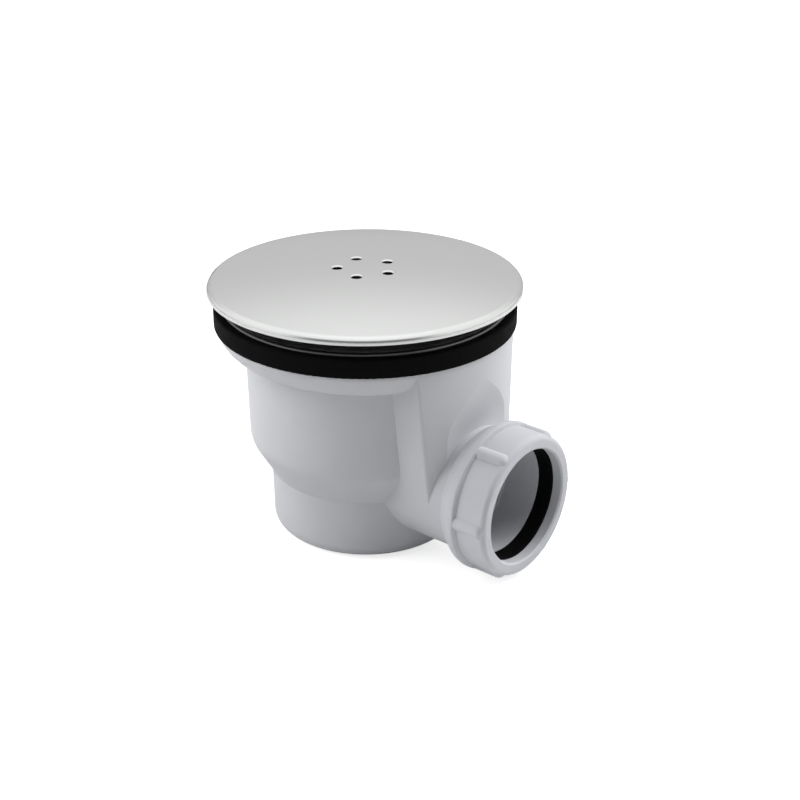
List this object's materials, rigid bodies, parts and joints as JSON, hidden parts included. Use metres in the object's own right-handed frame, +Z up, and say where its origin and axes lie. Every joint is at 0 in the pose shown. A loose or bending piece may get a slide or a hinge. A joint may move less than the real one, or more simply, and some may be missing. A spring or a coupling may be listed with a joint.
{
  "type": "shower drain",
  "caption": "Top-access shower drain with a domed metal cover, clamp flange, tray gasket, bucket trap with removable dip tube, and a compression nut outlet at the side.",
  "frame": {"origin": "on the drain's upright axis, in the plane where the clamp flange meets the tray gasket", "axes": "+X along the outlet, away from the trap; +Z up, out of the shower tray"},
  "size_m": [0.133, 0.115, 0.1013],
  "materials": {
    "cover_steel": "satin",
    "flange_plastic": "gloss",
    "black_rubber": "matte",
    "body_plastic": "satin",
    "nut_plastic": "satin",
    "insert_plastic": "matte"
  },
  "bodies": {
    "root": {"cover_cap": "cover_steel", "cover_carrier": "insert_plastic", "clamp_flange": "flange_plastic", "tray_gasket": "black_rubber", "trap_body": "body_plastic", "dip_tube": "insert_plastic", "dip_tube_o_ring": "black_rubber", "outlet_nut": "nut_plastic", "outlet_seal": "black_rubber"}
  },
  "joints": []
}
